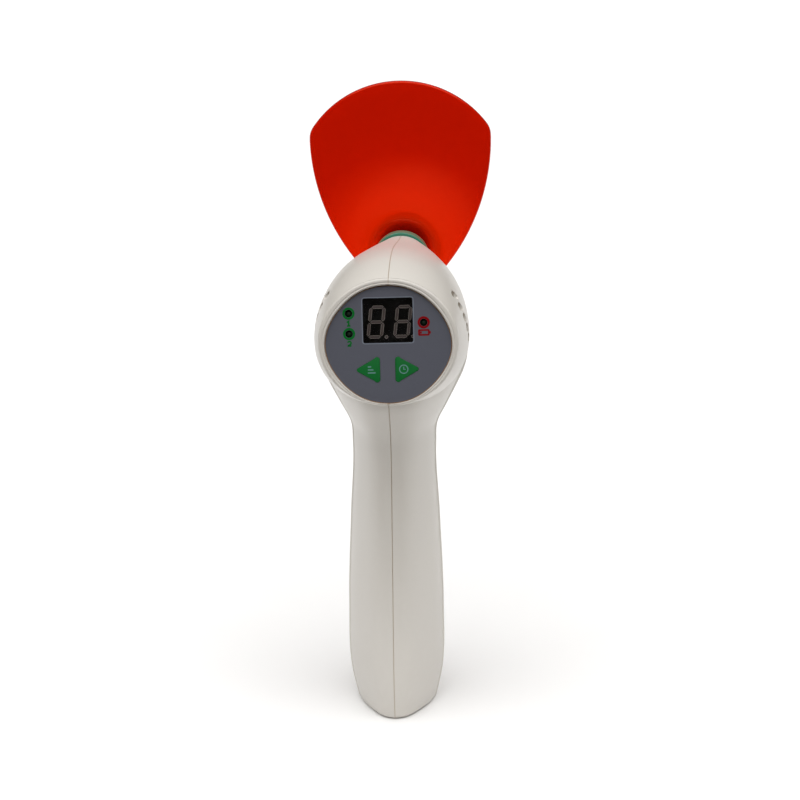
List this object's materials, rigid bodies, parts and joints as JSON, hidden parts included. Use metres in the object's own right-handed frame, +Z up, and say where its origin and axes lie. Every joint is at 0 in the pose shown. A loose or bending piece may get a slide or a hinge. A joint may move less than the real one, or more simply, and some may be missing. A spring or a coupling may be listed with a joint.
{
  "type": "dental curing light",
  "caption": "Cordless pistol-form dental curing light with an oval key and display panel, a bent light-guide rod and a translucent orange eye shield.",
  "frame": {"origin": "centre of the flat face under the grip", "axes": "+X the user's right, +Y out of the nose, +Z up along the grip; the panel faces -Y"},
  "size_m": [0.058, 0.1475, 0.1796],
  "materials": {
    "housing": "gloss moulded, off-white",
    "steel": "bright nickel",
    "gold_plate": "gold plated",
    "overlay": "fine matt film, blue-grey",
    "dark_plastic": "matt moulded, black",
    "clear_window": "smoked clear",
    "key_green": "satin, green",
    "display_black": "satin, black",
    "segment": "diffusing, unlit",
    "lamp_green": "clear tinted, unlit",
    "lamp_red": "clear tinted, unlit",
    "board_green": "solder mask, green",
    "trigger_grey": "satin moulded, warm grey",
    "cell_wrap": "shrink wrap, blue",
    "foam": "closed-cell foam",
    "lead_red": "insulated wire",
    "lead_white": "insulated wire",
    "lead_black": "insulated wire",
    "sink_aluminium": "machined",
    "emitter_white": "white solder mask on aluminium",
    "emitter_yellow": "phosphor under a clear dome",
    "reflector_bright": "vacuum-metallised plastic",
    "clear_glass": "clear, polished",
    "collar_teal": "satin moulded, teal green",
    "seal_rubber": "silicone",
    "guide_dark": "dark clad fibre rod, polished ends",
    "shield_orange": "polished translucent, red-orange"
  },
  "bodies": {
    "handpiece": {"left_shell": "housing", "right_shell": "housing", "shell_screws": "steel", "base_plate": "housing", "charge_contacts": "gold_plate", "panel_overlay": "overlay", "panel_bezel": "dark_plastic", "display_window": "clear_window", "display_housing": "display_black", "display_digits": "segment", "mode1_led": "lamp_green", "mode2_led": "lamp_green", "low_battery_led": "lamp_red", "control_board": "board_green", "board_screws": "steel", "mode_switch": "dark_plastic", "time_switch": "dark_plastic", "buzzer": "dark_plastic", "control_chip": "dark_plastic", "trigger_spring": "steel", "trigger_switch": "dark_plastic", "trigger_board": "board_green", "battery_cell": "cell_wrap", "battery_tabs": "steel", "battery_pad": "foam", "charge_board": "board_green", "charge_parts": "dark_plastic", "battery_leads": "lead_red", "emitter_leads": "lead_red", "trigger_leads": "lead_white", "contact_leads": "lead_black", "heat_sink": "sink_aluminium", "emitter_board": "emitter_white", "emitter_led": "emitter_yellow", "reflector": "reflector_bright", "front_window": "clear_glass", "nose_collar": "collar_teal"},
    "mode_key_body": {"mode_key": "key_green", "mode_plunger": "dark_plastic"},
    "time_key_body": {"time_key": "key_green", "time_plunger": "dark_plastic"},
    "trigger_body": {"trigger_button": "trigger_grey", "trigger_plunger": "dark_plastic"},
    "guide_carrier": {"guide_o_ring": "seal_rubber"},
    "guide_body": {"guide_ferrule": "steel", "light_guide_rod": "guide_dark"},
    "shield_body": {"light_shield": "shield_orange", "shield_bush": "seal_rubber"}
  },
  "joints": [
    {"name": "mode_key_press", "type": "slide", "parent": "handpiece", "child": "mode_key_body", "axis": [0, 0.9681, -0.2504], "range_m": [0, 0.0004], "stiffness_N_per_m": 2500, "springref_m": -0.0001},
    {"name": "time_key_press", "type": "slide", "parent": "handpiece", "child": "time_key_body", "axis": [0, 0.9681, -0.2504], "range_m": [0, 0.0004], "stiffness_N_per_m": 2500, "springref_m": -0.0001},
    {"name": "trigger_pull", "type": "slide", "parent": "handpiece", "child": "trigger_body", "axis": [0, -1, 0], "range_m": [0, 0.0025], "stiffness_N_per_m": 600, "springref_m": -0.001, "deforming": ["trigger_spring"]},
    {"name": "guide_pull", "type": "slide", "parent": "handpiece", "child": "guide_carrier", "axis": [0, 1, 0], "range_m": [0, 0.014]},
    {"name": "guide_turn", "type": "hinge", "parent": "guide_carrier", "child": "guide_body", "pos_m": [0, 0.051, 0.1252], "axis": [0, 1, 0], "continuous": true},
    {"name": "shield_turn", "type": "hinge", "parent": "guide_body", "child": "shield_body", "pos_m": [0, 0.079, 0.1252], "axis": [0, 1, 0], "continuous": true}
  ]
}
